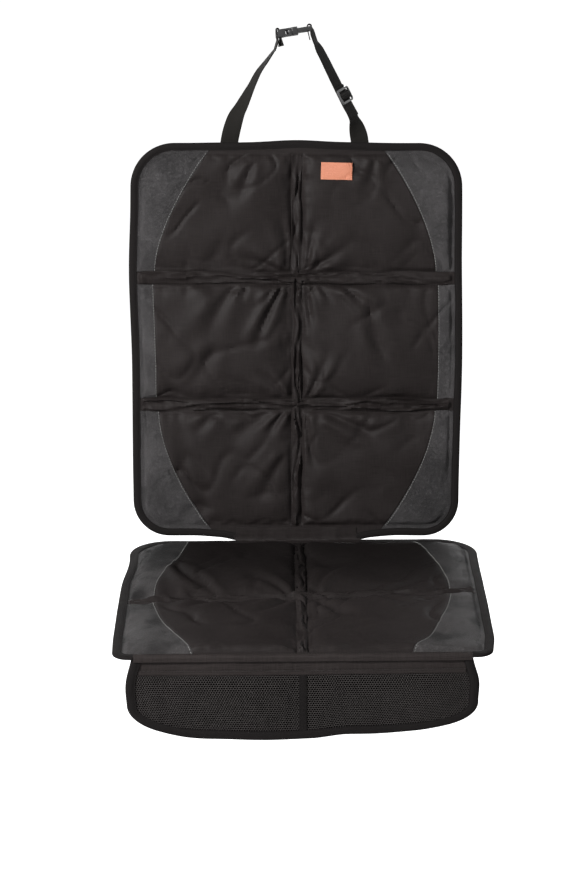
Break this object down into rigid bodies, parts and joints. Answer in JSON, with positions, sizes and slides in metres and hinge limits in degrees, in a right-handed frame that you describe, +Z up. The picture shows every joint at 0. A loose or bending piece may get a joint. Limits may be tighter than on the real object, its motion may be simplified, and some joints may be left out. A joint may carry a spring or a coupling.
{
  "type": "car seat protector mat",
  "caption": "Quilted black car seat protector with grained corner patches, a leaning back panel, a seat panel, a netted pocket flap and a buckled headrest strap loop.",
  "frame": {"origin": "middle of the flat underside of the seat panel", "axes": "+X to the right as one looks at the mat, +Y to the rear of the car seat, +Z up; the back panel leans 8 degrees to the rear"},
  "size_m": [0.4922, 0.5695, 0.8456],
  "materials": {
    "oxford_cloth": "plain woven coated cloth, matt with a faint sheen",
    "grained_patch": "fine pebbled grain, satin",
    "foam": "closed cell foam sheet, matt",
    "backing_cloth": "non-slip dotted cloth, matt",
    "binding_tape": "ribbed woven tape, matt",
    "pocket_net": "knitted net, matt",
    "webbing": "woven webbing, matt",
    "black_plastic": "moulded, semi-gloss",
    "label_leather": "smooth, stitched round its edge, bare"
  },
  "bodies": {
    "root": {"back_face": "oxford_cloth", "seat_face": "oxford_cloth", "seat_front_hem": "oxford_cloth", "neck_strip": "oxford_cloth", "flap_panel": "oxford_cloth", "back_patch_top_left": "grained_patch", "back_patch_top_right": "grained_patch", "back_patch_middle_left": "grained_patch", "back_patch_middle_right": "grained_patch", "back_patch_bottom_left": "grained_patch", "back_patch_bottom_right": "grained_patch", "seat_patch_rear_left": "grained_patch", "seat_patch_rear_right": "grained_patch", "seat_patch_front_left": "grained_patch", "seat_patch_front_right": "grained_patch", "back_foam_top_left": "foam", "back_foam_top_right": "foam", "back_foam_middle_left": "foam", "back_foam_middle_right": "foam", "back_foam_bottom_left": "foam", "back_foam_bottom_right": "foam", "seat_foam_rear_left": "foam", "seat_foam_rear_right": "foam", "seat_foam_front_left": "foam", "seat_foam_front_right": "foam", "back_backing": "backing_cloth", "seat_backing": "backing_cloth", "back_binding": "binding_tape", "seat_binding_left": "binding_tape", "seat_binding_right": "binding_tape", "flap_binding": "binding_tape", "pocket_hem": "binding_tape", "pocket_seam_tape": "binding_tape", "pocket_net_left": "pocket_net", "pocket_net_right": "pocket_net", "strap_left": "webbing", "strap_right": "webbing", "strap_loose_end": "webbing", "strap_slide": "black_plastic", "buckle_socket": "black_plastic", "buckle_plug": "black_plastic", "label": "label_leather"}
  },
  "joints": []
}
